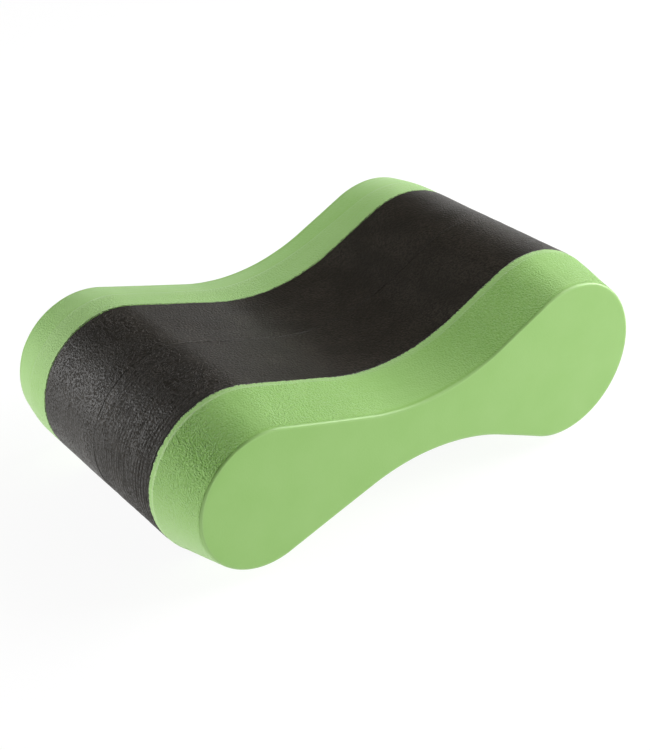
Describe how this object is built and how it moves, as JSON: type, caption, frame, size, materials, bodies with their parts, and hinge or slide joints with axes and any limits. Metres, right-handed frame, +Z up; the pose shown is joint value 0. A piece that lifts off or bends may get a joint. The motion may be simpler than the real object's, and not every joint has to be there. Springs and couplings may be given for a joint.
{
  "type": "swimming pull buoy",
  "caption": "Laminated foam swimming pull buoy: a peanut-shaped leg float with a large and a small lobe, a waist between them for the thighs, a dark core and bevelled pale green sides.",
  "frame": {"origin": "middle of the footprint on the surface that the buoy lies on, halfway between its two ends and its two outer faces", "axes": "+Z up with the buoy lying on both lobes, +X towards the large lobe, +Y across the laminations towards the left side"},
  "size_m": [0.23, 0.137, 0.081],
  "materials": {
    "green_foam": "matt closed-cell foam, skinned on the outer face and orange-peel grained where it was cut",
    "black_foam": "low-sheen closed-cell foam, rubbed shinier and scored by fine saw lines on the lobes",
    "adhesive": "satin contact adhesive"
  },
  "bodies": {
    "root": {"left_side_block": "green_foam", "left_bond_line": "adhesive", "left_core_block": "black_foam", "centre_bond_line": "adhesive", "right_core_block": "black_foam", "right_bond_line": "adhesive", "right_side_block": "green_foam"}
  },
  "joints": []
}
